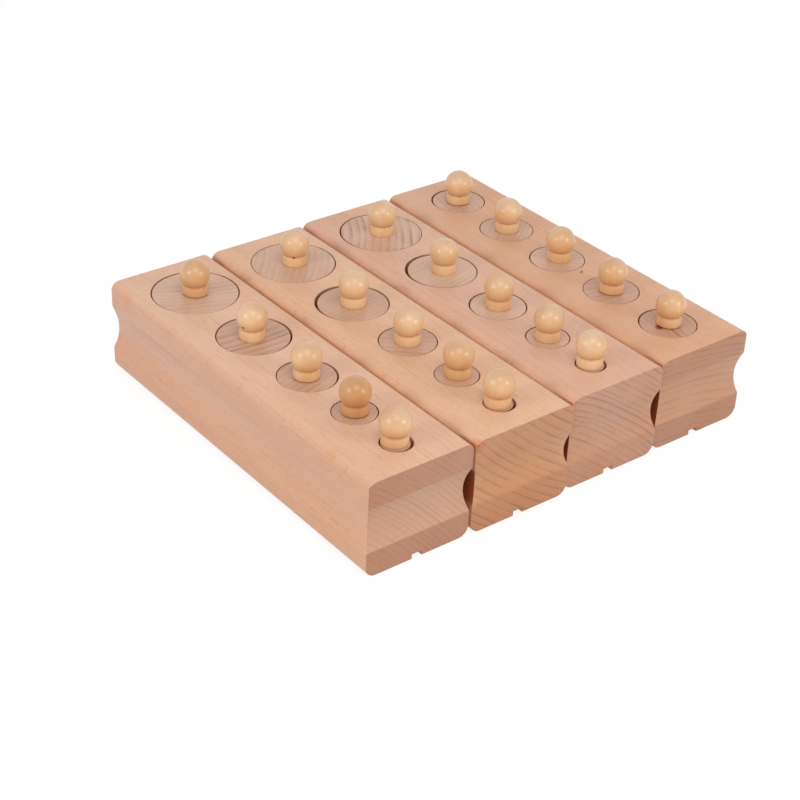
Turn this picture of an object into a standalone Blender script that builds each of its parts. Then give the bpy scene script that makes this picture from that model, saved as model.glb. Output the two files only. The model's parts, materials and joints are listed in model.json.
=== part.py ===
# Knobbed cylinder blocks: four beech blocks side by side, each with five
# cylinders that are lifted out of their sockets by a turned knob.
# Metres. +X runs across the row of blocks, +Y along them to their far ends, +Z up.
# The origin is the middle of the whole row, on the surface that it stands on.

import math

import bmesh
import bpy
from mathutils import Matrix

# Clearances that every fit shares
seat_gap = 0.0003        # between a piece and the piece that it rests on
glue_gap = 0.0003        # round and under a knob's tenon
overrun = 0.004          # how far a cutter runs past the face that it opens
merge_distance = 0.00001 # of the points on a turned piece's axis and seam
sharp_angle = math.radians(35)

# A block and the row
block_length = 0.150
block_height = 0.035
side_wall = 0.005        # beside the widest socket, above the cove
row_gap = 0.0006         # between neighbouring blocks
top_edge_radius = 0.003
bottom_edge_radius = 0.004
edge_segments = 4

# The finger cove, the groove that a round cutter leaves along all four sides
cove_cutter_radius = 0.0175
cove_cutter_sides = 72
cove_height_share = 0.5

# The slot planed along the underside
slot_width = 0.004
slot_depth = 0.0018
slot_offset = -0.0005

# Cylinders and sockets, from the far end of a block to its near end
graded_diameters = (0.0299, 0.0247, 0.0195, 0.0146, 0.0094)
graded_clearances = (0.0003, 0.0003, 0.0003, 0.0003, 0.00045)
equal_diameter = 0.0197
equal_clearance = 0.0003
socket_floor = 0.0067    # wood left under the deepest socket, slot included
round_sides = 28

# Each cylinder's height as a share of the tallest one's
equal_height_shares = (1.0, 1.0, 1.0, 1.0, 1.0)
falling_height_shares = (1.0, 0.86, 0.72, 0.58, 0.44)
rising_height_shares = (0.44, 0.58, 0.72, 0.86, 1.0)

# A turned knob: a round head, a narrow neck, a collar and a tenon
head_radius = 0.00525
head_centre = 0.0070     # above the collar's underside
neck_radius = 0.0040
collar_radius = 0.0045
tenon_radius = 0.0025
tenon_length = 0.006
knob_sides = 16
head_segments = 5

# The collar's outline below the neck, as shares of collar_radius and of the neck's height
collar_outline_shares = ((0.96, 0.93), (0.99, 0.72), (1.0, 0.30), (0.97, 0.0))

# One entry a block, from the -X end of the row. Its socket_room says how much wider than
# the fit each socket is, and on which side, in degrees from +X: its cylinder leans away from there.
blocks = (
    {
        "letter": "a",
        "end_shift": -0.0005,
        "cove_depth": 0.0020,
        "far_wall": 0.0071,
        "near_wall": 0.0087,
        "diameters": graded_diameters,
        "clearances": graded_clearances,
        "socket_room": ((0.0003, 65), (0.0003, 50), (0.0003, 40), (0.0001, 40), (0.0005, 315)),
        "height_shares": equal_height_shares,
        "knob_shifts": (0.0, -0.0005, -0.0002, 0.0001, -0.0002),
    },
    {
        "letter": "b",
        "end_shift": -0.0010,
        "cove_depth": 0.0013,
        "far_wall": 0.0070,
        "near_wall": 0.0087,
        "diameters": graded_diameters,
        "clearances": graded_clearances,
        "socket_room": ((0.0001, 0), (0.0007, 75), (0.0001, 60), (0.0001, 270), (0.0005, 310)),
        "height_shares": falling_height_shares,
        "knob_shifts": (0.0006, 0.0001, -0.0002, 0.0003, -0.0004),
    },
    {
        "letter": "c",
        "end_shift": 0.0003,
        "cove_depth": 0.0018,
        "far_wall": 0.0065,
        "near_wall": 0.0089,
        "diameters": graded_diameters,
        "clearances": graded_clearances,
        "socket_room": ((0.0001, 110), (0.0006, 85), (0.0003, 60), (0.0002, 50), (0.0004, 280)),
        "height_shares": rising_height_shares,
        "knob_shifts": (0.0002, 0.0006, -0.0001, -0.0002, -0.0003),
    },
    {
        "letter": "d",
        "end_shift": 0.0010,
        "cove_depth": 0.0020,
        "far_wall": 0.0075,
        "near_wall": 0.0081,
        "diameters": (equal_diameter,) * len(graded_diameters),
        "clearances": (equal_clearance,) * len(graded_diameters),
        "socket_room": ((0.0003, 70), (0.0, 0), (0.0001, 110), (0.0, 0), (0.0003, 90)),
        "height_shares": falling_height_shares,
        "knob_shifts": (-0.0003, 0.0001, 0.0008, 0.0, 0.0003),
    },
)

# Colours of the finished woods
beech_colour = (0.66, 0.40, 0.265, 1.0)
cylinder_colour = (0.58, 0.37, 0.26, 1.0)
lacquer_colour = (0.74, 0.46, 0.21, 1.0)


def socket_diameters(block):
    pairs = zip(block["diameters"], block["clearances"])
    return [diameter + 2 * clearance for diameter, clearance in pairs]


# Sizes that follow from the ones above
widest_socket = max(max(socket_diameters(block)) for block in blocks)
block_width = widest_socket + 2 * side_wall
block_pitch = block_width + row_gap
tallest_cylinder = block_height - socket_floor - seat_gap
cove_height = block_height * cove_height_share
neck_height = head_centre - math.sqrt(head_radius**2 - neck_radius**2)
row_start = -block_pitch * (len(blocks) - 1) / 2
end_shifts = [block["end_shift"] for block in blocks]
middle_shift = (min(end_shifts) + max(end_shifts)) / 2


def block_centre(index):
    return row_start + index * block_pitch, blocks[index]["end_shift"] - middle_shift


def socket_places(block):
    # Places along the block, with equal walls between the sockets
    widths = socket_diameters(block)
    spare = block_length - block["far_wall"] - block["near_wall"] - sum(widths)
    wall = spare / (len(widths) - 1)
    edge = block_length / 2 - block["far_wall"]
    places = []
    for width in widths:
        places.append(edge - width / 2)
        edge -= width + wall
    return places


def clear_scene():
    for item in list(bpy.data.objects):
        bpy.data.objects.remove(item, do_unlink=True)


def new_collection(name):
    collection = bpy.data.collections.new(name)
    bpy.context.scene.collection.children.link(collection)
    return collection


def new_material(name, colour, roughness):
    material = bpy.data.materials.new(name)
    material.use_nodes = True
    shader = material.node_tree.nodes["Principled BSDF"]
    shader.inputs["Base Color"].default_value = colour
    shader.inputs["Roughness"].default_value = roughness
    shader.inputs["Metallic"].default_value = 0.0
    material.diffuse_color = colour
    return material


def new_object(name, mesh_builder, collection):
    mesh = bpy.data.meshes.new(name)
    geometry = bmesh.new()
    mesh_builder(geometry)
    bmesh.ops.recalc_face_normals(geometry, faces=geometry.faces)
    geometry.to_mesh(mesh)
    geometry.free()
    item = bpy.data.objects.new(name, mesh)
    collection.objects.link(item)
    return item


def new_cutter(name, mesh_builder, location):
    cutter = new_object(name, mesh_builder, cutters)
    cutter.location = location
    cutter.hide_render = True
    cutter.display_type = "WIRE"
    return cutter


def cut(item, cutter):
    modifier = item.modifiers.new(cutter.name, "BOOLEAN")
    modifier.operation = "DIFFERENCE"
    modifier.solver = "EXACT"
    modifier.object = cutter


def add_box(geometry, size, centre):
    made = bmesh.ops.create_cube(geometry, size=1.0)
    bmesh.ops.scale(geometry, vec=size, verts=made["verts"])
    bmesh.ops.translate(geometry, vec=centre, verts=made["verts"])


def add_round(geometry, radius, length, sides, centre, direction="Z"):
    made = bmesh.ops.create_cone(
        geometry, cap_ends=True, segments=sides, radius1=radius, radius2=radius, depth=length
    )
    if direction != "Z":
        turn = Matrix.Rotation(math.pi / 2, 3, "Y" if direction == "X" else "X")
        bmesh.ops.rotate(geometry, matrix=turn, verts=made["verts"])
    bmesh.ops.translate(geometry, vec=centre, verts=made["verts"])


def block_mesh(geometry):
    # A bar whose four long edges are rounded, its underside on z = 0
    size = (block_width, block_length, block_height)
    add_box(geometry, size, (0, 0, block_height / 2))
    for radius, is_top in ((top_edge_radius, True), (bottom_edge_radius, False)):
        long_edges = []
        for edge in geometry.edges:
            first, second = edge.verts
            along = abs(first.co.y - second.co.y) > block_length / 2
            high = (first.co.z + second.co.z) / 2 > block_height / 2
            if along and high == is_top:
                long_edges.append(edge)
        bmesh.ops.bevel(
            geometry, geom=long_edges, offset=radius, segments=edge_segments, profile=0.5, affect="EDGES"
        )


def make_block(index):
    block = blocks[index]
    name = "block_" + block["letter"]
    across, along = block_centre(index)
    item = new_object(name, block_mesh, parts)
    item.location = (across, along, 0)
    item.data.materials.append(new_material(name, beech_colour, 0.55))

    reach = cove_cutter_radius - block["cove_depth"]

    def side_coves(geometry):
        for side in (-1, 1):
            centre = (side * (block_width / 2 + reach), 0, cove_height)
            length = block_length + 2 * overrun
            add_round(geometry, cove_cutter_radius, length, cove_cutter_sides, centre, "Y")

    def end_coves(geometry):
        for side in (-1, 1):
            centre = (0, side * (block_length / 2 + reach), cove_height)
            length = block_width + 2 * overrun
            add_round(geometry, cove_cutter_radius, length, cove_cutter_sides, centre, "X")

    def slot(geometry):
        size = (slot_width, block_length + 2 * overrun, slot_depth + overrun)
        add_box(geometry, size, (slot_offset, 0, (slot_depth - overrun) / 2))

    def sockets(geometry):
        rows = zip(
            socket_places(block), socket_diameters(block), block["socket_room"], block["height_shares"]
        )
        for place, width, (room, degrees), height_share in rows:
            depth = tallest_cylinder * height_share + seat_gap
            aside = room / 2 * math.cos(math.radians(degrees))
            ahead = room / 2 * math.sin(math.radians(degrees))
            centre = (aside, place + ahead, block_height + (overrun - depth) / 2)
            add_round(geometry, (width + room) / 2, depth + overrun, round_sides, centre)

    for part_name, builder in (
        ("side_coves", side_coves),
        ("end_coves", end_coves),
        ("slot", slot),
        ("sockets", sockets),
    ):
        cut(item, new_cutter(f"{name}_{part_name}", builder, item.location))


def make_cylinder(index, number):
    # The origin is on the cylinder's axis, at its top face
    block = blocks[index]
    name = f"cylinder_{block['letter']}{number + 1}"
    across, along = block_centre(index)
    radius = block["diameters"][number] / 2
    height = tallest_cylinder * block["height_shares"][number]

    def body(geometry):
        add_round(geometry, radius, height, round_sides, (0, 0, -height / 2))

    def mortise(geometry):
        depth = tenon_length + glue_gap - seat_gap
        length = depth + overrun
        add_round(geometry, tenon_radius + glue_gap, length, knob_sides, (0, 0, overrun - length / 2))

    item = new_object(name, body, parts)
    item.location = (across, along + socket_places(block)[number], block_height)
    item.data.materials.append(new_material(name, cylinder_colour, 0.6))
    knob_place = item.location.copy()
    knob_place.x += block["knob_shifts"][number]
    cut(item, new_cutter(name + "_mortise", mortise, knob_place))
    shade_round(item)
    return item


def knob_outline():
    # From the top of the head down its outer side to the tip of the tenon
    head_end = math.asin((neck_height - head_centre) / head_radius)
    points = []
    for step in range(head_segments + 1):
        angle = math.pi / 2 + (head_end - math.pi / 2) * step / head_segments
        points.append((head_radius * math.cos(angle), head_centre + head_radius * math.sin(angle)))
    points[0] = (0, points[0][1])
    for radius_share, height_share in collar_outline_shares:
        points.append((collar_radius * radius_share, neck_height * height_share))
    points.append((tenon_radius, 0))
    points.append((tenon_radius, -tenon_length))
    points.append((0, -tenon_length))
    return points


def knob_profile(geometry):
    previous = None
    for radius, height in knob_outline():
        vertex = geometry.verts.new((radius, 0, height))
        if previous:
            geometry.edges.new((previous, vertex))
        previous = vertex


def make_knob(index, number, cylinder):
    # The origin is on the knob's axis, at its collar's underside
    block = blocks[index]
    name = f"knob_{block['letter']}{number + 1}"
    item = new_object(name, knob_profile, parts)
    item.parent = cylinder
    item.location = (block["knob_shifts"][number], 0, seat_gap)
    item.data.materials.append(new_material(name, lacquer_colour, 0.25))
    screw = item.modifiers.new("turning", "SCREW")
    screw.axis = "Z"
    screw.angle = 2 * math.pi
    screw.steps = knob_sides
    screw.render_steps = knob_sides
    screw.use_merge_vertices = True
    screw.merge_threshold = merge_distance
    screw.use_smooth_shade = True


def shade_round(item):
    item.data.shade_smooth()
    item.data.set_sharp_from_angle(angle=sharp_angle)


clear_scene()
parts = new_collection("knobbed_cylinder_blocks")
cutters = new_collection("cutters")
for block_index, block_spec in enumerate(blocks):
    make_block(block_index)
    for cylinder_number in range(len(block_spec["diameters"])):
        lifted = make_cylinder(block_index, cylinder_number)
        make_knob(block_index, cylinder_number, lifted)
bpy.context.view_layer.update()
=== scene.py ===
import json
import math

import bmesh
import bpy
from mathutils import Matrix, Vector

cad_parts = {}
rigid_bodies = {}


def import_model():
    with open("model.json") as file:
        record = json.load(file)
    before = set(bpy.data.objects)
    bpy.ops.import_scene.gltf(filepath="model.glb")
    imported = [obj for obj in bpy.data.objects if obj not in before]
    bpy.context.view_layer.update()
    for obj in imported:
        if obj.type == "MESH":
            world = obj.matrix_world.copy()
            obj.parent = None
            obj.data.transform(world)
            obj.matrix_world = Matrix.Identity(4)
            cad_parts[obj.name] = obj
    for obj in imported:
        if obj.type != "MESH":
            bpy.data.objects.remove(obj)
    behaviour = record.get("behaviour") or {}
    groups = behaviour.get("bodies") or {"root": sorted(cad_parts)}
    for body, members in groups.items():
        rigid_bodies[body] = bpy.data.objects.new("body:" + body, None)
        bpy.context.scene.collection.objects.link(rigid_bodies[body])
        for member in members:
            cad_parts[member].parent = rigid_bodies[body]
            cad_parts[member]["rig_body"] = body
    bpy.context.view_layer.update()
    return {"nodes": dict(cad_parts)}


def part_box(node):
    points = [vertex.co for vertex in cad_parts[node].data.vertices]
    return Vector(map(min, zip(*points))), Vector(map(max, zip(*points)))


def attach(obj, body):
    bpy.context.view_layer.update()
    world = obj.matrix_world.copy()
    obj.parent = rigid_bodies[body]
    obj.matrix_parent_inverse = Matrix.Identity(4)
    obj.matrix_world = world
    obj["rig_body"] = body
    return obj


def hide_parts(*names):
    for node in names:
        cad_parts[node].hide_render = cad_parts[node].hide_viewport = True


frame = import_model()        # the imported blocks, cylinders and knobs
print("frame loaded,", len(frame["nodes"]), "nodes")

blockLetters = "abcd"
cylinderNumbers = "12345"    # number 1 is at the far end of its block


# Camera, where the photograph was taken from

cameraView = {
    "place": (-0.3562, -0.4235, 0.3425),
    "heading": -39.245,      # degrees round the vertical, 0 looks along +Y
    "elevation": 32.053,     # degrees above the row, looking down on it
    "roll": 2.785,
    "lens": 82.08,           # mm, on the sensor below
    "sensorWidth": 36.0,
    "nearest": 0.01,
    "farthest": 30.0,
}


def makeCamera(view):
    data = bpy.data.cameras.new("camera")
    data.lens = view["lens"]
    data.sensor_width = view["sensorWidth"]
    data.clip_start = view["nearest"]
    data.clip_end = view["farthest"]
    camera = bpy.data.objects.new("camera", data)
    heading = Matrix.Rotation(math.radians(view["heading"]), 4, "Z")
    tilt = Matrix.Rotation(math.radians(90 - view["elevation"]), 4, "X")
    roll = Matrix.Rotation(math.radians(view["roll"]), 4, "Z")
    camera.matrix_world = Matrix.Translation(view["place"]) @ heading @ tilt @ roll
    bpy.context.scene.collection.objects.link(camera)
    bpy.context.scene.camera = camera


# Shader nodes: each helper adds one node and links what goes into it

nodeLayout = {"columns": 10, "left": -2200, "across": 190, "down": -320}


def addNode(tree, kind, sockets=None, **settings):
    made = tree.nodes.new(kind)
    row, column = divmod(len(tree.nodes), nodeLayout["columns"])
    made.location = (nodeLayout["left"] + nodeLayout["across"] * column, nodeLayout["down"] * row)
    for name, value in settings.items():
        setattr(made, name, value)
    for name, value in (sockets or {}).items():
        if isinstance(value, bpy.types.NodeSocket):
            tree.links.new(value, made.inputs[name])
        else:
            made.inputs[name].default_value = value
    return made


def sums(tree, operation, first, second=0.0, third=0.0):
    sockets = {0: first, 1: second, 2: third}
    return addNode(tree, "ShaderNodeMath", sockets, operation=operation).outputs[0]


def vectorSums(tree, operation, first, second=(0.0, 0.0, 0.0)):
    made = addNode(tree, "ShaderNodeVectorMath", {0: first, 1: second}, operation=operation)
    givesNumber = operation in ("LENGTH", "DOT_PRODUCT", "DISTANCE")
    return made.outputs["Value" if givesNumber else "Vector"]


def mapTo(tree, value, fromLow, fromHigh, toLow=0.0, toHigh=1.0):
    sockets = {"Value": value, "From Min": fromLow, "From Max": fromHigh, "To Min": toLow, "To Max": toHigh}
    made = addNode(tree, "ShaderNodeMapRange", sockets, interpolation_type="SMOOTHSTEP")
    return made.outputs["Result"]


def noise(tree, vector, scale, detail=2.0, roughness=0.5):
    sockets = {"Vector": vector, "Scale": scale, "Detail": detail, "Roughness": roughness}
    return addNode(tree, "ShaderNodeTexNoise", sockets)


def blend(tree, amount, first, second, kind="MIX"):
    sockets = {0: amount, 6: first, 7: second}
    made = addNode(tree, "ShaderNodeMix", sockets, data_type="RGBA", blend_type=kind)
    return made.outputs[2]


def ramp(tree, value, stops):
    # stops are (place, grey) pairs from 0 to 1
    made = addNode(tree, "ShaderNodeValToRGB", {"Fac": value})
    points = made.color_ramp.elements
    while len(points) < len(stops):
        points.new(1.0)
    for point, (place, grey) in zip(points, stops):
        point.position = place
        point.color = (grey, grey, grey, 1.0)
    return made.outputs["Color"]


def linear(red, green, blue):
    # a colour as it is seen, 0 to 255 a channel, brought by the sRGB curve to what a shader socket takes
    channels = []
    for seen in (red, green, blue):
        share = seen / 255
        channels.append(share / 12.92 if share <= 0.04045 else ((share + 0.055) / 1.055) ** 2.4)
    return (*channels, 1.0)


def mixSeen(first, second, share):
    # two colours as they are seen, mixed
    return tuple(one + (other - one) * share for one, other in zip(first, second))


# Studio: a white floor that keeps a faint shadow, a white surround and three soft boxes

studio = {
    "floorSize": 12.0,
    "floorDrop": 0.0001,     # below the blocks, so that the two never share a plane
    "floorTone": 0.76,
    "floorGlow": 1.105,
    "shadowFade": 0.78,      # how far the floor's own glow hides the shadow
    "surroundLight": 0.68,
    "boxDistance": 0.85,
    "boxes": {
        "leftBox": {"towards": (-0.87, 0.02, 0.49), "size": 0.20, "power": 1.25},
        "rightBox": {"towards": (0.30, -0.85, 0.42), "size": 0.20, "power": 1.35},
        "frontBox": {"towards": (-0.24, -0.45, 0.86), "size": 0.42, "power": 1.7},
    },
}


def seesBackground(tree):
    # 1 for the rays that see the floor and the surround as plain white: the camera's, or in a shine or glass
    rays = addNode(tree, "ShaderNodeLightPath").outputs
    seen = sums(tree, "MAXIMUM", rays["Is Camera Ray"], rays["Is Glossy Ray"])
    return sums(tree, "MAXIMUM", seen, rays["Is Transmission Ray"])


def floorMaterial(setup):
    material = bpy.data.materials.new("whiteFloor")
    material.use_nodes = True
    tree = material.node_tree
    tree.nodes.clear()
    tone = setup["floorTone"]
    matte = addNode(tree, "ShaderNodeBsdfDiffuse", {"Color": (tone, tone, tone, 1.0)})
    sockets = {"Color": (1.0, 1.0, 1.0, 1.0), "Strength": setup["floorGlow"]}
    glow = addNode(tree, "ShaderNodeEmission", sockets)
    share = sums(tree, "MULTIPLY", seesBackground(tree), setup["shadowFade"])
    mixed = addNode(tree, "ShaderNodeMixShader", {0: share, 1: matte.outputs[0], 2: glow.outputs[0]})
    addNode(tree, "ShaderNodeOutputMaterial", {"Surface": mixed.outputs[0]})
    return material


def makeFloor(setup):
    bm = bmesh.new()
    bmesh.ops.create_grid(bm, x_segments=1, y_segments=1, size=setup["floorSize"] / 2)
    bmesh.ops.translate(bm, vec=(0, 0, -setup["floorDrop"]), verts=bm.verts)
    mesh = meshFrom(bm, "whiteFloor")
    mesh.materials.append(floorMaterial(setup))
    floor = bpy.data.objects.new("whiteFloor", mesh)
    bpy.context.scene.collection.objects.link(floor)


def makeSurround(setup):
    world = bpy.data.worlds.new("whiteSurround")
    world.use_nodes = True
    tree = world.node_tree
    tree.nodes.clear()
    strength = mapTo(tree, seesBackground(tree), 0.0, 1.0, setup["surroundLight"], 1.0)
    white = addNode(tree, "ShaderNodeBackground", {"Color": (1.0, 1.0, 1.0, 1.0), "Strength": strength})
    addNode(tree, "ShaderNodeOutputWorld", {"Surface": white.outputs[0]})
    bpy.context.scene.world = world


def makeSoftBoxes(setup):
    for name, box in setup["boxes"].items():
        data = bpy.data.lights.new(name, "AREA")
        data.shape = "SQUARE"
        data.size = box["size"]
        data.energy = box["power"]
        lamp = bpy.data.objects.new(name, data)
        towards = Vector(box["towards"]).normalized()
        lamp.location = towards * setup["boxDistance"]
        lamp.rotation_euler = towards.to_track_quat("Z", "Y").to_euler()
        bpy.context.scene.collection.objects.link(lamp)


# Wood: rings round a pith, fibres along the grain and the short flecks of beech

grainPattern = {
    "bendStretch": 0.12,     # a stretch below 1 draws a pattern out along the grain
    "fibreStretch": 0.035,
    "patchStretch": 0.25,
    "wanderScale": 0.23,     # how fast the gap changes from ring to ring
    "faintestRing": 0.45,    # the faintest ring's share of the strongest one
    "fadeScale": 90.0,       # the places where a ring fades on its way round
    "fadeRange": (0.35, 0.60),
    "fadedShare": 0.35,
    "fibreScale": 1700.0,
    "fibreDetail": 3.0,
    "fibreRoughness": 0.65,
    "fibreRange": (0.45, 0.72),
    "fleckScale": (2600.0, 160.0, 420.0),    # round the pith, away from it and along the grain
    "fleckRange": (0.60, 0.72),
    "patchDetail": 3.0,
    "patchRange": (0.36, 0.64),
    "endFacing": (0.55, 0.90),    # how far a face looks along the grain where end grain begins and is full
    "ringBump": -0.4,        # the ring lines lie lower than the wood between them
    "spotCore": 0.35,        # the share of a spot's radius that has its full tint
}


def woodGrain(tree, wood):
    # gives the shares of ring line, fibre, fleck and patch at a point, and how far it is end grain
    coordinates = addNode(tree, "ShaderNodeTexCoord")
    sockets = {"Vector": coordinates.outputs["Object"], "Location": wood["pith"], "Rotation": wood["lean"]}
    along = addNode(tree, "ShaderNodeMapping", sockets, vector_type="TEXTURE").outputs["Vector"]
    bendVector = vectorSums(tree, "MULTIPLY", along, (1.0, 1.0, grainPattern["bendStretch"]))
    bend = noise(tree, bendVector, wood["bendScale"]).outputs["Color"]
    bend = vectorSums(tree, "SUBTRACT", bend, (0.5, 0.5, 0.5))
    bend = vectorSums(tree, "MULTIPLY", bend, (wood["bend"], wood["bend"], 0.0))
    along = vectorSums(tree, "ADD", along, bend)

    flat = vectorSums(tree, "MULTIPLY", along, (1.0, 1.0, 0.0))
    distance = vectorSums(tree, "LENGTH", flat)
    stepped = sums(tree, "DIVIDE", distance, wood["ringGap"])
    sockets = {"W": stepped, "Scale": grainPattern["wanderScale"], "Detail": 2.0}
    wander = addNode(tree, "ShaderNodeTexNoise", sockets, noise_dimensions="1D")
    stepped = sums(tree, "MULTIPLY_ADD", wander.outputs[0], wood["ringWander"], stepped)
    inRing = sums(tree, "FRACT", stepped)
    line = ramp(tree, inRing, wood["ringLine"])
    ringNumber = sums(tree, "FLOOR", stepped)
    drawn = addNode(tree, "ShaderNodeTexWhiteNoise", {"W": ringNumber}, noise_dimensions="1D")
    faintest = grainPattern["faintestRing"]
    strength = sums(tree, "MULTIPLY_ADD", drawn.outputs["Value"], 1.0 - faintest, faintest)
    line = sums(tree, "MULTIPLY", line, strength)
    fading = noise(tree, flat, grainPattern["fadeScale"]).outputs[0]
    fading = mapTo(tree, fading, *grainPattern["fadeRange"], grainPattern["fadedShare"], 1.0)
    line = sums(tree, "MULTIPLY", line, fading)

    fibreVector = vectorSums(tree, "MULTIPLY", along, (1.0, 1.0, grainPattern["fibreStretch"]))
    detail, roughness = grainPattern["fibreDetail"], grainPattern["fibreRoughness"]
    fibre = noise(tree, fibreVector, grainPattern["fibreScale"], detail, roughness).outputs[0]

    parts = addNode(tree, "ShaderNodeSeparateXYZ", {0: along}).outputs
    angle = sums(tree, "ARCTAN2", parts["Y"], parts["X"])
    across = sums(tree, "MULTIPLY", angle, wood["pithDistance"])
    sockets = {}
    for axis, value, scale in zip("XYZ", (across, distance, parts["Z"]), grainPattern["fleckScale"]):
        sockets[axis] = sums(tree, "MULTIPLY", value, scale)
    rayVector = addNode(tree, "ShaderNodeCombineXYZ", sockets).outputs[0]
    fleck = noise(tree, rayVector, 1.0, 0.0).outputs[0]
    fleck = mapTo(tree, fleck, *grainPattern["fleckRange"])

    patchVector = vectorSums(tree, "MULTIPLY", along, (1.0, 1.0, grainPattern["patchStretch"]))
    patch = noise(tree, patchVector, wood["patchScale"], grainPattern["patchDetail"]).outputs[0]
    patch = mapTo(tree, patch, *grainPattern["patchRange"])
    faced = vectorSums(tree, "DOT_PRODUCT", coordinates.outputs["Normal"], wood["grainAxis"])
    endGrain = mapTo(tree, sums(tree, "ABSOLUTE", faced), *grainPattern["endFacing"])
    return {
        "object": coordinates.outputs["Object"],
        "normal": coordinates.outputs["Normal"],
        "line": line,
        "fibre": fibre,
        "fleck": fleck,
        "patch": patch,
        "endGrain": endGrain,
    }


def woodColour(tree, wood, grain):
    longWood = blend(tree, grain["patch"], linear(*wood["longLight"]), linear(*wood["longDeep"]))
    endWood = blend(tree, grain["patch"], linear(*wood["endLight"]), linear(*wood["endDeep"]))
    colour = blend(tree, grain["endGrain"], longWood, endWood)
    ringShare = mapTo(tree, grain["endGrain"], 0.0, 1.0, wood["longRings"], wood["endRings"])
    ringShare = sums(tree, "MULTIPLY", ringShare, grain["line"])
    colour = blend(tree, ringShare, colour, linear(*wood["ringTint"]), "MULTIPLY")
    fibreShare = mapTo(tree, grain["fibre"], *grainPattern["fibreRange"])
    fibreShare = sums(tree, "MULTIPLY", fibreShare, wood["fibreDepth"])
    colour = blend(tree, fibreShare, colour, linear(*wood["fibreTint"]), "MULTIPLY")
    fleckShare = mapTo(tree, grain["endGrain"], 0.0, 1.0, wood["fleckDepth"], wood["endFlecks"])
    fleckShare = sums(tree, "MULTIPLY", grain["fleck"], fleckShare)
    return blend(tree, fleckShare, colour, linear(*wood["fleckTint"]), "MULTIPLY")


def addSpots(tree, colour, place, spots):
    # a spot is where its middle lies, its radius and the tint that it fades to
    for middle, radius, tint in spots:
        away = vectorSums(tree, "DISTANCE", place, middle)
        share = mapTo(tree, away, radius, radius * grainPattern["spotCore"])
        colour = blend(tree, share, colour, linear(*tint), "MULTIPLY")
    return colour


def woodFinish(tree, shader, wood, grain, colour):
    tree.links.new(colour, shader.inputs["Base Color"])
    rough = mapTo(tree, grain["endGrain"], 0.0, 1.0, wood["longRoughness"], wood["endRoughness"])
    rough = sums(tree, "MULTIPLY_ADD", grain["fibre"], wood["roughnessPlay"], rough)
    tree.links.new(rough, shader.inputs["Roughness"])
    shader.inputs["Specular IOR Level"].default_value = wood["specular"]
    height = sums(tree, "MULTIPLY_ADD", grain["line"], grainPattern["ringBump"], grain["fibre"])
    sockets = {"Height": height, "Strength": wood["bumpStrength"], "Distance": wood["bumpDepth"]}
    bump = addNode(tree, "ShaderNodeBump", sockets)
    tree.links.new(bump.outputs["Normal"], shader.inputs["Normal"])


def newMaterial(name):
    material = bpy.data.materials.new(name)
    material.use_nodes = True
    return material, material.node_tree, material.node_tree.nodes["Principled BSDF"]


# Pieces: a finished mesh takes the place of a node and rides on the node's body

meshing = {
    "mergeDistance": 0.000002,
    "cutDistance": 0.0000001,    # vertices so near to a cutting plane count as on it
}


def meshFrom(bm, name):
    mesh = bpy.data.meshes.new(name)
    bm.to_mesh(mesh)
    bm.free()
    return mesh


def dressNode(name, mesh, node, material, sharpAngle):
    mesh.materials.clear()
    mesh.materials.append(material)
    mesh.shade_smooth()
    mesh.set_sharp_from_angle(angle=math.radians(sharpAngle))
    piece = bpy.data.objects.new(name, mesh)
    bpy.context.scene.collection.objects.link(piece)
    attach(piece, frame["nodes"][node]["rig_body"])
    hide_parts(node)


def spinOutline(bm, outline, centre, steps):
    # outline is (radius, height) pairs, from the axis out and back to the axis
    made = []
    for radius, height in outline:
        made.append(bm.verts.new((centre.x + radius, centre.y, centre.z + height)))
    edges = [bm.edges.new(pair) for pair in zip(made, made[1:])]
    bmesh.ops.spin(
        bm, geom=made + edges, cent=centre, axis=(0, 0, 1), angle=2 * math.pi, steps=steps, use_merge=True
    )


def closeTurned(bm):
    bmesh.ops.remove_doubles(bm, verts=bm.verts, dist=meshing["mergeDistance"])
    bmesh.ops.recalc_face_normals(bm, faces=bm.faces)


def arc(centreRadius, centreHeight, radius, start, end, steps):
    # (radius, height) points on a round stretch of an outline, angles in degrees
    points = []
    for step in range(steps + 1):
        angle = math.radians(start + (end - start) * step / steps)
        points.append((centreRadius + radius * math.cos(angle), centreHeight + radius * math.sin(angle)))
    return points


def offAxis(middle, away, degrees, height):
    # the point that lies so far from a middle in plan, degrees from +X
    angle = math.radians(degrees)
    return (middle.x + away * math.cos(angle), middle.y + away * math.sin(angle), height)


# Blocks

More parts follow.
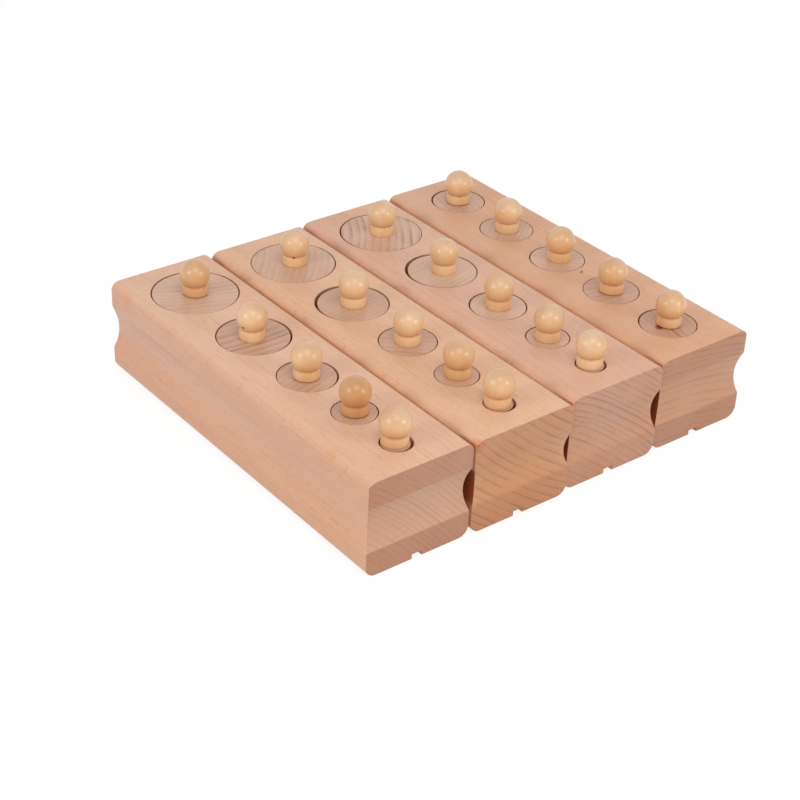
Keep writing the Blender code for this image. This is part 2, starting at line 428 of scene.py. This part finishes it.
blockShape = {
    "topEdgeRadius": 0.003,
    "bottomEdgeRadius": 0.004,
    "coveRadius": 0.0175,
    "coveDepth": {"a": 0.0020, "b": 0.0013, "c": 0.0018, "d": 0.0020},
    "sideEase": 0.0042,      # rounding where a cove meets the long side
    "endCoveEase": {"a": 0.0008, "b": 0.0035, "c": 0.0030, "d": 0.0018},    # and where it meets an end
    # what the left and the right side stand out, or in below 0, for the outline and the seams between blocks
    "sideGrow": {
        "a": (0.00022, -0.00008), "b": (0.00012, 0.00012),
        "c": (0.00012, 0.00012), "d": (0.0, 0.00025),
    },
    # how much of the cove's depth each face has: left, right, near end, far end
    "coveShare": {
        "a": (0.75, 0.85, 1.0, 0.75), "b": (1.0, 1.25, 1.0, 1.0),
        "c": (1.0, 0.88, 1.0, 1.0), "d": (1.0, 0.82, 0.82, 1.0),
    },
    # the rounding of the left top edge runs out into a squarer corner towards the near end
    "cornerDrop": {"a": 0.0009, "b": 0.0009, "c": 0.0012, "d": 0.0009},
    "cornerEase": 0.0005,
    "cornerBow": 1.3,        # above 1 the drop falls off early and the corner's top bows up
    "cornerReach": 0.012,
    "endEase": 0.00014,      # the end grain's sanded edge
    "endSteps": 3,
    "rimEase": 0.00008,      # the sockets' sanded rim
    "flatStrip": 0.0003,     # keeps the flat faces beside a rounding evenly shaded
    "slotWidth": 0.004,
    "slotDepth": 0.0018,
    "slotOffset": -0.0005,
    "edgeSteps": 9,
    "coveSteps": 60,
    "socketSteps": 112,
    "floorGap": 0.0003,
    "drillPoint": 0.0011,    # radius of the dimple that the drill leaves in a socket's floor
    "overrun": 0.002,
    "sharpAngle": 16.0,
    # a socket's clearance, how far it stands off its cylinder's axis and which way (degrees from +X)
    "sockets": {
        "a1": (0.00046, 0.00031, 60), "a2": (0.00057, 0.00037, 36), "a3": (0.00048, 0.00035, 28),
        "a4": (0.00038, 0.00018, 38), "a5": (0.00078, 0.00030, 312),
        "b1": (0.00035, 0.00014, 20), "b2": (0.00074, 0.00062, 85), "b3": (0.00037, 0.00014, 60),
        "b4": (0.00032, 0.00010, 270), "b5": (0.00068, 0.00032, 310),
        "c1": (0.00040, 0.00017, 120), "c2": (0.00074, 0.00050, 98), "c3": (0.00050, 0.00024, 62),
        "c4": (0.00039, 0.00017, 50), "c5": (0.00064, 0.00020, 285),
        "d1": (0.00049, 0.00034, 72), "d2": (0.00029, 0.00005, 90), "d3": (0.00035, 0.00010, 110),
        "d4": (0.00029, 0.00009, 350), "d5": (0.00042, 0.00028, 62),
    },
}


def coveStart(radius, depth, ease):
    # how far above and below its middle line an eased cove begins
    return math.sqrt((radius + ease) ** 2 - (radius - depth + ease) ** 2)


def coveInset(away, radius, depth, ease):
    # how deep a cove with eased edges is, at a height so far away from its middle line
    start = coveStart(radius, depth, ease)
    if away >= start:
        return 0.0
    if away <= start * radius / (radius + ease):
        return math.sqrt(radius**2 - away**2) - (radius - depth)
    return ease - math.sqrt(ease**2 - (start - away) ** 2)


def blockOutline(shape, letter, height):
    # (height, side inset, end inset) from the underside up
    levels = []
    bottom = shape["bottomEdgeRadius"]
    for x, z in arc(0, bottom, bottom, -90, 0, shape["edgeSteps"]):
        levels.append((z, bottom - x, 0.0))
    strip = shape["flatStrip"]
    levels.append((bottom + strip, 0.0, 0.0))
    radius = shape["coveRadius"]
    depth = shape["coveDepth"][letter]
    sideEase = shape["sideEase"]
    endEase = shape["endCoveEase"][letter]
    start = coveStart(radius, depth, sideEase)
    for step in range(shape["coveSteps"] + 1):
        rise = start * (2 * step / shape["coveSteps"] - 1)
        sideInset = coveInset(abs(rise), radius, depth, sideEase)
        endInset = coveInset(abs(rise), radius, depth, endEase)
        levels.append((height / 2 + rise, sideInset, endInset))
    top = shape["topEdgeRadius"]
    levels.append((height - top - strip, 0.0, 0.0))
    for x, z in arc(0, height - top, top, 0, 90, shape["edgeSteps"]):
        levels.append((z, top - x, 0.0))
    return levels


def squareCorner(bm, shape, drop, size):
    # draws the rounding of the left top edge out into a low corner at the near end
    radius = shape["topEdgeRadius"]
    ease = shape["cornerEase"]
    rounding = []
    for face in bm.faces:
        middle = face.calc_center_median()
        lengthwise = abs(face.normal.y) < 0.5
        if lengthwise and middle.x < radius - size.x / 2 and middle.z > size.z - radius:
            rounding.append(face)
    edges = {edge for face in rounding for edge in face.edges}
    verts = {vert for face in rounding for vert in face.verts}
    geometry = [*verts, *edges, *rounding]
    start = (0, shape["cornerReach"] - size.y / 2, 0)
    bmesh.ops.bisect_plane(
        bm, geom=geometry, dist=meshing["cutDistance"], plane_co=start, plane_no=(0, 1, 0)
    )
    for vert in verts:
        if vert.co.y > 0:
            continue
        # how far round the quarter turn a vertex lies, 0 at the side and 1 at the top
        inward = vert.co.x + size.x / 2
        turned = math.degrees(math.acos(max(-1.0, min(1.0, 1 - inward / radius)))) / 90
        if turned < 0.5:
            angle = math.radians(180 * turned)
            vert.co.x = ease * (1 - math.cos(angle)) - size.x / 2
            vert.co.z = size.z - drop - ease * (1 - math.sin(angle))
        else:
            along = 2 * turned - 1
            vert.co.x = ease + (radius - ease) * along - size.x / 2
            vert.co.z = size.z - drop * (1 - along) ** shape["cornerBow"]


def fitFaces(bm, shape, letter, size):
    # gives each face its own depth of cove, and each long side what it stands out
    left, right, near, far = shape["coveShare"][letter]
    growLeft, growRight = shape["sideGrow"][letter]
    for vert in bm.verts:
        place = vert.co
        side = math.copysign(size.x / 2, place.x)
        end = math.copysign(size.y / 2, place.y)
        if shape["bottomEdgeRadius"] < place.z < size.z - shape["topEdgeRadius"]:
            place.x = side + (place.x - side) * (left if side < 0 else right)
        place.y = end + (place.y - end) * (near if end < 0 else far)
        place.x += -growLeft if side < 0 else growRight


def blockBody(bm, shape, letter, size):
    # one slab, raised level by level while its outline is drawn in and let out
    levels = blockOutline(shape, letter, size.z)
    made = bmesh.ops.create_cube(bm, size=1.0)
    lowest, sideInset, endInset = levels[1]
    bmesh.ops.translate(bm, vec=(0, 0, 0.5), verts=made["verts"])
    bmesh.ops.scale(bm, vec=(size.x - 2 * sideInset, size.y - 2 * endInset, lowest), verts=made["verts"])
    floorVerts = [vert for vert in made["verts"] if vert.co.z < lowest / 2]
    narrowing = (size.x - 2 * levels[0][1]) / (size.x - 2 * sideInset)
    bmesh.ops.scale(bm, vec=(narrowing, 1, 1), verts=floorVerts)
    cap = max(bm.faces, key=lambda face: face.calc_center_median().z)
    for previous, level in zip(levels[1:], levels[2:]):
        cap = bmesh.ops.extrude_discrete_faces(bm, faces=[cap])["faces"][0]
        widen = (size.x - 2 * level[1]) / (size.x - 2 * previous[1])
        lengthen = (size.y - 2 * level[2]) / (size.y - 2 * previous[2])
        bmesh.ops.scale(bm, vec=(widen, lengthen, 1), verts=cap.verts)
        bmesh.ops.translate(bm, vec=(0, 0, level[0] - previous[0]), verts=cap.verts)

    squareCorner(bm, shape, shape["cornerDrop"][letter], size)
    fitFaces(bm, shape, letter, size)

    # the edges round both ends: those that rise at the corners, and those across the foot and the top
    endEdges = []
    for edge in bm.edges:
        first, second = (vert.co for vert in edge.verts)
        atEnd = min(abs(first.y), abs(second.y)) > size.y / 2 - shape["cornerReach"] / 2
        rises = abs(first.z - second.z) > 0 and first.x * second.x > 0
        acrossEnd = abs(first.y - second.y) < shape["endEase"] and abs(first.x - second.x) > 0
        outermost = max(first.z, second.z) <= 0 or min(first.z, second.z) >= size.z
        if atEnd and (rises or (acrossEnd and outermost)):
            endEdges.append(edge)
    bmesh.ops.bevel(
        bm, geom=endEdges, offset=shape["endEase"], segments=shape["endSteps"],
        profile=0.5, material=-1, affect="EDGES",
    )
    beside = size.x / 2 - shape["topEdgeRadius"] - shape["flatStrip"]
    for across in (-beside, beside):
        geometry = [*bm.verts, *bm.edges, *bm.faces]
        bmesh.ops.bisect_plane(
            bm, geom=geometry, dist=meshing["cutDistance"], plane_co=(across, 0, 0), plane_no=(1, 0, 0)
        )
    bmesh.ops.recalc_face_normals(bm, faces=bm.faces)


def socketCutter(bm, shape, label, blockTop):
    low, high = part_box("cylinder_" + label)
    size = high - low
    clearance, aside, degrees = shape["sockets"][label]
    middle = Vector(offAxis((low + high) / 2, aside, degrees, blockTop))
    radius = size.x / 2 + clearance
    floor = low.z - shape["floorGap"] - blockTop
    ease = shape["rimEase"]
    over = shape["overrun"]
    point = shape["drillPoint"]
    outline = [(0, floor - point / 2), (point, floor), (radius, floor), (radius, -ease)]
    outline += [(radius + 2 * ease, ease), (radius + 2 * ease, over), (0, over)]
    spinOutline(bm, outline, middle, shape["socketSteps"])


def slotCutter(bm, shape, centre, length):
    over = shape["overrun"]
    made = bmesh.ops.create_cube(bm, size=1.0)
    slotSize = (shape["slotWidth"], length + 2 * over, shape["slotDepth"] + over)
    slotPlace = (centre.x + shape["slotOffset"], centre.y, (shape["slotDepth"] - over) / 2)
    bmesh.ops.scale(bm, vec=slotSize, verts=made["verts"])
    bmesh.ops.translate(bm, vec=slotPlace, verts=made["verts"])


def cutAway(body, cutters):
    # cuts the cutter meshes out of the body's mesh and gives back the finished mesh
    item = bpy.data.objects.new("uncut", body)
    bpy.context.scene.collection.objects.link(item)
    tools = []
    for mesh in cutters:
        tool = bpy.data.objects.new(mesh.name, mesh)
        bpy.context.scene.collection.objects.link(tool)
        modifier = item.modifiers.new(mesh.name, "BOOLEAN")
        modifier.operation = "DIFFERENCE"
        modifier.solver = "EXACT"
        modifier.object = tool
        tools.append(tool)
    bpy.context.view_layer.update()
    seen = item.evaluated_get(bpy.context.evaluated_depsgraph_get())
    finished = bpy.data.meshes.new_from_object(seen)
    for used in (item, *tools):
        bpy.data.objects.remove(used)
    return finished


blockWood = {
    "lean": (math.radians(90), 0.0, 0.0),   # the rings' axis lies along the block
    "grainAxis": (0.0, 1.0, 0.0),
    "bend": 0.0030,
    "bendScale": 22.0,
    "ringWander": 1.6,
    "patchScale": 26.0,
    "longRings": 0.10,
    "ringTint": (190, 158, 140),
    "ringLine": ((0.0, 0.04), (0.62, 0.12), (0.84, 0.70), (0.92, 1.0), (0.98, 0.30), (1.0, 0.04)),
    "fibreDepth": 0.30,
    "fibreTint": (228, 208, 192),
    "fleckDepth": 0.15,
    "endFlecks": 0.02,
    "fleckTint": (206, 178, 160),
    "specular": 0.30,
    "longRoughness": 0.34,
    "endRoughness": 0.46,
    "roughnessPlay": 0.10,
    "bumpStrength": 0.25,
    "bumpDepth": 0.00006,
    # a block's own wood: where its pith lay, from the near end's lower left corner
    "blocks": {
        "a": {
            "pithAcross": -0.0780, "pithUp": -0.0800, "ringGap": 0.0018,
            "longLight": (221, 180, 152), "longDeep": (218, 172, 142),
            "endLight": (202, 161, 135), "endDeep": (200, 154, 125),
            "endRings": 0.38, "flatBand": 0.84, "bandSoftness": 0.0003, "inside": "right",
            # painted highlights on the rounded left top edge
            "spots": (
                ((-0.0819, 0.0640, 0.0330), 0.0035, (255, 246, 236)),
                ((-0.0815, -0.0547, 0.0350), 0.0030, (253, 246, 234)),
            ),
        },
        "b": {
            "pithAcross": 0.1060, "pithUp": 0.1280, "ringGap": 0.0028,
            "longLight": (221, 178, 146), "longDeep": (219, 173, 139),
            "endLight": (201, 153, 119), "endDeep": (199, 147, 107),
            "endRings": 0.70, "flatBand": 0.42, "bandSoftness": 0.0016, "inside": "both",
            "spots": (
                # a painted highlight on the near left top corner, then a small dark mark in it
                ((-0.0401, -0.0760, 0.0332), 0.0036, (255, 232, 214)),
                ((-0.0402, -0.0760, 0.0334), 0.0005, (190, 140, 122)),
            ),
        },
        "c": {
            "pithAcross": -0.0715, "pithUp": -0.1080, "ringGap": 0.0021,
            "longLight": (217, 173, 147), "longDeep": (214, 165, 136),
            "endLight": (198, 156, 132), "endDeep": (195, 148, 119),
            "endRings": 0.62, "flatBand": 0.20, "bandSoftness": 0.0016, "inside": "both",
            # a painted highlight on the near left top corner
            "spots": (((0.0, -0.0747, 0.0345), 0.0030, (255, 236, 222)),),
        },
        "d": {
            "pithAcross": -0.0030, "pithUp": -0.1600, "ringGap": 0.0026,
            "longLight": (215, 169, 139), "longDeep": (213, 163, 129),
            "endLight": (196, 152, 126), "endDeep": (196, 148, 117),
            "endRings": 0.48, "flatBand": 0.70, "bandSoftness": 0.0008, "inside": "left",
            "bandTint": (228, 222, 222),
            "spots": (
                ((0.0620, -0.0113, 0.0350), 0.0007, (170, 114, 96)),
                ((0.0628, -0.0108, 0.0350), 0.0007, (184, 132, 112)),
            ),
        },
    },
    "bandTint": (229, 213, 207),   # sawn end grain above and below the cove
    "paintedEdgeShadeTint": (248, 222, 194),   # painted warm shade where the long top edges are rounded
    "edgeShadeStrength": 0.15,
    "edgeShadeFacing": (0.05, 0.75),    # how far sideways a face looks where that tint begins and is full
    "sideFacing": (0.60, 0.85),    # and where it counts as a long side
    "lowTint": (254, 244, 235),    # along the foot
    "footRange": (0.60, 0.25),     # the shares of the height where that tint begins and is full
    "endFoot": 0.5,                # and its strength on the ends
    "paintedFarShadeTint": (252, 244, 242),    # painted shade on the long sides towards the far end
    "paintedGapShadeTint": (172, 114, 88),  # painted shade in the gap, near both ends of a side that faces a neighbour
    "gapShadeReach": 0.0115,         # how far in from the ends
    "gapShadeCore": 0.4,             # the share of that reach that has the full tint
    "gapShadeFlat": 0.35,            # its strength above and below the cove
}


def blockMaterial(letter):
    low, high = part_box("block_" + letter)
    centre = (low + high) / 2
    size = high - low
    own = blockWood["blocks"][letter]
    wood = {**blockWood, **own}
    wood["pith"] = (low.x + own["pithAcross"], centre.y, low.z + own["pithUp"])
    toPith = Vector((centre.x - wood["pith"][0], centre.z - wood["pith"][2]))
    wood["pithDistance"] = toPith.length
    material, tree, shader = newMaterial("beechBlock_" + letter)
    grain = woodGrain(tree, wood)
    colour = woodColour(tree, wood, grain)

    # the sawn end grain above and below the cove, from the height of the point
    reach = blockShape["coveRadius"] - blockShape["coveDepth"][letter]
    halfCove = math.sqrt(blockShape["coveRadius"] ** 2 - reach**2)
    parts = addNode(tree, "ShaderNodeSeparateXYZ", {0: grain["object"]}).outputs
    fromMiddle = sums(tree, "ABSOLUTE", sums(tree, "SUBTRACT", parts["Z"], centre.z))
    soft = own["bandSoftness"]
    inBand = mapTo(tree, fromMiddle, halfCove - soft, halfCove + soft)
    bandShare = sums(tree, "MULTIPLY", inBand, grain["endGrain"])
    bandShare = sums(tree, "MULTIPLY", bandShare, own["flatBand"])
    colour = blend(tree, bandShare, colour, linear(*wood["bandTint"]), "MULTIPLY")

    # painted warm shade on the rounded top edges, a warmer and slightly darker foot, and painted shade on
    # the long sides towards the far end
    sideways = addNode(tree, "ShaderNodeSeparateXYZ", {0: grain["normal"]}).outputs["X"]
    sideways = sums(tree, "ABSOLUTE", sideways)
    edgeShadeShare = sums(tree, "MULTIPLY", mapTo(tree, sideways, *wood["edgeShadeFacing"]), wood["edgeShadeStrength"])
    edgeShadeShare = sums(tree, "MULTIPLY", mapTo(tree, parts["Z"], centre.z, high.z), edgeShadeShare)
    colour = blend(tree, edgeShadeShare, colour, linear(*wood["paintedEdgeShadeTint"]), "MULTIPLY")
    sideShare = mapTo(tree, sideways, *wood["sideFacing"])
    footShare = mapTo(tree, parts["Z"], *(size.z * share for share in wood["footRange"]))
    footStrength = mapTo(tree, grain["endGrain"], 0.0, 1.0, 1.0, wood["endFoot"])
    footShare = sums(tree, "MULTIPLY", footShare, footStrength)
    colour = blend(tree, footShare, colour, linear(*wood["lowTint"]), "MULTIPLY")
    farShadeShare = sums(tree, "MULTIPLY", mapTo(tree, parts["Y"], low.y, high.y), sideShare)
    colour = blend(tree, farShadeShare, colour, linear(*wood["paintedFarShadeTint"]), "MULTIPLY")

    # painted shade in the coves between two blocks, where the gap between them lies in shadow
    across = sums(tree, "SUBTRACT", parts["X"], centre.x)
    if own["inside"] == "both":
        across = sums(tree, "ABSOLUTE", across)
    elif own["inside"] == "left":
        across = sums(tree, "MULTIPLY", across, -1.0)
    facing = mapTo(tree, across, size.x / 4, size.x / 3)
    fromMiddleLong = sums(tree, "ABSOLUTE", sums(tree, "SUBTRACT", parts["Y"], centre.y))
    begins, full = wood["gapShadeReach"], wood["gapShadeReach"] * wood["gapShadeCore"]
    atEnds = mapTo(tree, fromMiddleLong, size.y / 2 - begins, size.y / 2 - full)
    gapShadeShare = sums(tree, "MULTIPLY", sums(tree, "MULTIPLY", facing, atEnds), sideShare)
    gapShadeStrength = mapTo(tree, inBand, 0.0, 1.0, 1.0, wood["gapShadeFlat"])
    gapShadeShare = sums(tree, "MULTIPLY", gapShadeShare, gapShadeStrength)
    colour = blend(tree, gapShadeShare, colour, linear(*wood["paintedGapShadeTint"]), "MULTIPLY")
    colour = addSpots(tree, colour, grain["object"], own["spots"])
    woodFinish(tree, shader, wood, grain, colour)
    return material


def makeBlock(letter):
    node = "block_" + letter
    low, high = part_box(node)
    centre = (low + high) / 2
    size = high - low
    bm = bmesh.new()
    blockBody(bm, blockShape, letter, size)
    bmesh.ops.translate(bm, vec=(centre.x, centre.y, 0), verts=bm.verts)
    body = meshFrom(bm, "body")

    bm = bmesh.new()
    for number in cylinderNumbers:
        socketCutter(bm, blockShape, letter + number, high.z)
    closeTurned(bm)
    sockets = meshFrom(bm, "sockets")

    bm = bmesh.new()
    slotCutter(bm, blockShape, centre, size.y)
    slot = meshFrom(bm, "slot")

    name = "beechBlock_" + letter
    mesh = cutAway(body, (sockets, slot))
    mesh.name = name
    dressNode(name, mesh, node, blockMaterial(letter), blockShape["sharpAngle"])


# Cylinders

cylinderShape = {
    "topEase": 0.00010,
    "flatStrip": 0.0003,
    "bottomEase": 0.0004,
    "easeSteps": 3,
    "steps": 112,
    "mortiseRadius": 0.0028,
    "mortiseDepth": 0.0060,
    "sharpAngle": 32.0,
}

cylinderWood = {
    "lean": (0.0, 0.0, 0.0),
    "grainAxis": (0.0, 0.0, 1.0),
    "bend": 0.0016,
    "bendScale": 40.0,
    "ringWander": 1.2,
    "patchScale": 40.0,
    "longRings": 0.12,
    "longLight": (212, 168, 136),
    "longDeep": (206, 156, 121),
    "endDark": (192, 147, 120),
    "endPale": (214, 178, 153),
    "patchDepth": 0.35,      # how far a top's patches go towards the dark colour
    "ringTint": (196, 172, 160),
    "ringLine": ((0.0, 0.08), (0.40, 0.20), (0.75, 0.85), (0.88, 1.0), (0.96, 0.40), (1.0, 0.08)),
    "fibreDepth": 0.25,
    "fibreTint": (224, 206, 194),
    "fleckDepth": 0.20,
    "endFlecks": 0.05,
    "fleckTint": (212, 190, 176),
    "specular": 0.45,
    "longRoughness": 0.36,
    "endRoughness": 0.30,
    "roughnessPlay": 0.10,
    "bumpStrength": 0.3,
    "bumpDepth": 0.00006,
    "pithDistance": 0.110,
    # a fine crack in a top, from one point in plan to another, and a painted shadow beside its knob's collar
    "cracks": {"d5": ((0.0597, -0.0594), (0.0589, -0.0652))},
    "crackSteps": 12,
    "crackRadius": 0.00034,
    "crackTint": (176, 128, 106),
    "collarShadows": {"d5": ((0.0573, -0.0560), 0.0021, (166, 116, 94))},
    # a top's rings: the way their pith lies (degrees from +X), their gap and strength; and how pale it is
    "tops": {
        "a1": (68, 0.0025, 0.45, 0.78), "a2": (88, 0.0031, 0.95, 0.44), "a3": (108, 0.0024, 0.65, 0.40),
        "a4": (120, 0.0015, 0.35, 0.38), "a5": (60, 0.0010, 0.30, 0.40),
        "b1": (141, 0.0023, 0.38, 0.74), "b2": (98, 0.0018, 0.45, 0.48), "b3": (48, 0.0028, 0.65, 0.44),
        "b4": (110, 0.0015, 0.40, 0.34), "b5": (50, 0.0010, 0.30, 0.40),
        "c1": (146, 0.0028, 1.00, 0.88), "c2": (104, 0.0024, 0.35, 0.95), "c3": (110, 0.0021, 0.45, 0.94),
        "c4": (160, 0.0015, 0.30, 0.78), "c5": (90, 0.0010, 0.30, 0.40),
        "d1": (167, 0.0024, 0.45, 0.67), "d2": (128, 0.0020, 0.60, 0.62), "d3": (50, 0.0024, 0.50, 0.86),
        "d4": (84, 0.0030, 0.42, 0.36), "d5": (166, 0.0026, 0.50, 0.02),
    },
}


def topMarks(wood, label, height):
    marks = []
    if label in wood["cracks"]:
        start, end = (Vector((*point, height)) for point in wood["cracks"][label])
        for step in range(wood["crackSteps"]):
            middle = start.lerp(end, step / (wood["crackSteps"] - 1))
            marks.append((tuple(middle), wood["crackRadius"], wood["crackTint"]))
    # a painted shadow beside the knob's collar
    if label in wood["collarShadows"]:
        point, radius, tint = wood["collarShadows"][label]
        marks.append(((*point, height), radius, tint))
    return marks


def cylinderMaterial(label, centre, top):
    towards, ringGap, strength, paleness = cylinderWood["tops"][label]
    wood = dict(cylinderWood)
    wood["pith"] = offAxis(centre, wood["pithDistance"], towards, 0.0)
    wood["ringGap"] = ringGap
    wood["endRings"] = strength
    wood["endLight"] = mixSeen(wood["endDark"], wood["endPale"], paleness)
    wood["endDeep"] = mixSeen(wood["endLight"], wood["endDark"], wood["patchDepth"])
    material, tree, shader = newMaterial("beechCylinder_" + label)
    grain = woodGrain(tree, wood)
    colour = addSpots(tree, woodColour(tree, wood, grain), grain["object"], topMarks(wood, label, top))
    woodFinish(tree, shader, wood, grain, colour)
    return material


def makeCylinder(label):
    node = "cylinder_" + label
    low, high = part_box(node)
    centre = (low + high) / 2
    size = high - low
    radius = size.x / 2
    top = cylinderShape["topEase"]
    bottom = cylinderShape["bottomEase"]
    steps = cylinderShape["easeSteps"]
    strip = cylinderShape["flatStrip"]
    hole = cylinderShape["mortiseRadius"]
    holeFloor = -cylinderShape["mortiseDepth"]
    outline = [(0, -size.z)]
    outline += arc(radius - bottom, bottom - size.z, bottom, -90, 0, steps)
    outline += [(radius, bottom + strip - size.z), (radius, -top - strip)]
    outline += arc(radius - top, -top, top, 0, 90, steps)
    outline += [(radius - top - strip, 0), (hole, 0), (hole, holeFloor), (0, holeFloor)]
    bm = bmesh.new()
    spinOutline(bm, outline, Vector((centre.x, centre.y, high.z)), cylinderShape["steps"])
    closeTurned(bm)
    name = "beechCylinder_" + label
    material = cylinderMaterial(label, centre, high.z)
    dressNode(name, meshFrom(bm, name), node, material, cylinderShape["sharpAngle"])


# Knobs

knobShape = {
    "headRadius": 0.00525,
    "headHeight": 0.0070,    # the head's centre above the collar's underside
    "neckRadius": 0.0040,
    "seatGap": 0.0003,       # between the collar's node and its cylinder
    "lift": 0.00004,         # what is left of it under a finished collar
    "looseLift": 0.00030,    # and under those that don't sit all the way down
    "loose": ("a1", "a3", "a4", "d1", "d4", "d5"),
    "collarRadius": 0.0045,
    # the collar as shares of its radius and of the neck's height, from the neck down
    "collarOutline": (
        (0.900, 0.97), (0.920, 0.91), (0.942, 0.83), (0.962, 0.73), (0.979, 0.61),
        (0.992, 0.47), (0.999, 0.32), (1.0, 0.15), (0.990, 0.04), (0.970, 0.0),
    ),
    "tenonRadius": 0.0025,
    "tenonLength": 0.006,
    "headSteps": 26,
    "steps": 72,
    "sharpAngle": 40.0,
}

knobWood = {
    "lean": (0.0, 0.0, 0.0),
    "grainAxis": (0.0, 0.0, 1.0),
    "bend": 0.0012,
    "bendScale": 60.0,
    "ringWander": 1.2,
    "ringGap": 0.0011,
    "patchScale": 90.0,
    "longRings": 0.16,
    "endRings": 0.20,
    "ringTint": (226, 196, 158),
    "ringLine": ((0.0, 0.1), (0.5, 0.25), (0.85, 1.0), (1.0, 0.1)),
    "fibreDepth": 0.12,
    "fibreTint": (232, 206, 172),
    "fleckDepth": 0.08,
    "endFlecks": 0.02,
    "fleckTint": (226, 196, 156),
    "specular": 0.35,
    "longRoughness": 0.42,
    "endRoughness": 0.44,
    "roughnessPlay": 0.05,
    "bumpStrength": 0.12,
    "bumpDepth": 0.00003,
    "pithDistance": 0.012,
    "coatWeight": 0.75,
    "coatRoughness": 0.27,
    "pale": (233, 196, 153),
    "amber": (210, 158, 103),
    "deepShares": (0.96, 0.91, 0.83),
    # painted sheen towards the crown and painted shade in the crease under the head
    "paintedCrownSheenTint": (236, 234, 244),
    "paintedCreaseShadeTint": (230, 206, 186),
    "creaseShadeReach": 0.0007,
    "creaseShadeCore": 0.1,       # the share of that reach that has the full tint
    "turnEach": 47,          # degrees from one knob's pith to the next one's
    # marks on a knob, from the middle of its head
    "spots": {
        "a2": (((-0.0047, -0.00157, -0.00173), 0.0007, (96, 62, 44)),),
        "b1": (((-0.0025, -0.0031, -0.0034), 0.0007, (110, 70, 48)),),
    },
    # how amber each knob's lacquered wood is
    "ambers": {
        "a1": 0.56, "a2": 0.10, "a3": 0.14, "a4": 1.0, "a5": 0.25,
        "b1": 0.18, "b2": 0.12, "b3": 0.0, "b4": 0.38, "b5": 0.10,
        "c1": 0.0, "c2": 0.14, "c3": 0.15, "c4": 0.30, "c5": 0.05,
        "d1": 0.13, "d2": 0.10, "d3": 0.13, "d4": 0.28, "d5": 0.40,
    },
}


def knobMaterial(label, head):
    wood = dict(knobWood)
    seen = mixSeen(wood["pale"], wood["amber"], wood["ambers"][label])
    deep = tuple(channel * share for channel, share in zip(seen, wood["deepShares"]))
    wood["longLight"] = seen
    wood["longDeep"] = deep
    wood["endLight"] = seen
    wood["endDeep"] = deep
    count = blockLetters.index(label[0]) * len(cylinderNumbers) + int(label[1])
    wood["pith"] = offAxis(head, wood["pithDistance"], wood["turnEach"] * count, 0.0)
    material, tree, shader = newMaterial("lacqueredKnob_" + label)
    grain = woodGrain(tree, wood)
    colour = woodColour(tree, wood, grain)

    # painted sheen that greys the head towards the crown, and painted shade that browns the crease under the
    # head
    height = addNode(tree, "ShaderNodeSeparateXYZ", {0: grain["object"]}).outputs["Z"]
    crown = mapTo(tree, height, head.z, head.z + knobShape["headRadius"])
    colour = blend(tree, crown, colour, linear(*wood["paintedCrownSheenTint"]), "MULTIPLY")
    crease = head.z - math.sqrt(knobShape["headRadius"] ** 2 - knobShape["neckRadius"] ** 2)
    fromCrease = sums(tree, "ABSOLUTE", sums(tree, "SUBTRACT", height, crease))
    creaseShadeShare = mapTo(tree, fromCrease, wood["creaseShadeReach"], wood["creaseShadeReach"] * wood["creaseShadeCore"])
    colour = blend(tree, creaseShadeShare, colour, linear(*wood["paintedCreaseShadeTint"]), "MULTIPLY")
    spots = []
    for offset, radius, tint in wood["spots"].get(label, ()):
        spots.append((tuple(head + Vector(offset)), radius, tint))
    colour = addSpots(tree, colour, grain["object"], spots)
    woodFinish(tree, shader, wood, grain, colour)
    shader.inputs["Coat Weight"].default_value = wood["coatWeight"]
    shader.inputs["Coat Roughness"].default_value = wood["coatRoughness"]
    return material


def knobOutline(shape, lift):
    # (radius, height) pairs over the head, down the collar and down to the tenon's end
    head = shape["headRadius"]
    neckHeight = shape["headHeight"] - math.sqrt(head**2 - shape["neckRadius"] ** 2)
    meets = math.degrees(math.asin((neckHeight - shape["headHeight"]) / head))
    outline = arc(0, shape["headHeight"], head, 90, meets, shape["headSteps"])
    outline[0] = (0, outline[0][1])    # exactly on the axis
    foot = lift - shape["seatGap"]
    for radiusShare, heightShare in shape["collarOutline"]:
        height = foot + (neckHeight - foot) * heightShare
        outline.append((shape["collarRadius"] * radiusShare, height))
    tenon, tenonEnd = shape["tenonRadius"], -shape["tenonLength"]
    outline += [(tenon, foot), (tenon, tenonEnd), (0, tenonEnd)]
    return outline


def makeKnob(label):
    node = "knob_" + label
    low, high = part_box(node)
    centre = (low + high) / 2
    underside = high.z - knobShape["headRadius"] - knobShape["headHeight"]
    outline = knobOutline(knobShape, knobShape["looseLift" if label in knobShape["loose"] else "lift"])
    bm = bmesh.new()
    spinOutline(bm, outline, Vector((centre.x, centre.y, underside)), knobShape["steps"])
    closeTurned(bm)
    name = "lacqueredKnob_" + label
    head = Vector((centre.x, centre.y, underside + knobShape["headHeight"]))
    material = knobMaterial(label, head)
    dressNode(name, meshFrom(bm, name), node, material, knobShape["sharpAngle"])


# Making it all

bpy.context.scene.view_settings.view_transform = "Standard"
makeCamera(cameraView)
makeFloor(studio)
makeSurround(studio)
makeSoftBoxes(studio)
print("camera and studio made")

for letter in blockLetters:
    makeBlock(letter)
print("blocks made")

for letter in blockLetters:
    for number in cylinderNumbers:
        makeCylinder(letter + number)
print("cylinders made")

for letter in blockLetters:
    for number in cylinderNumbers:
        makeKnob(letter + number)
print("knobs made")
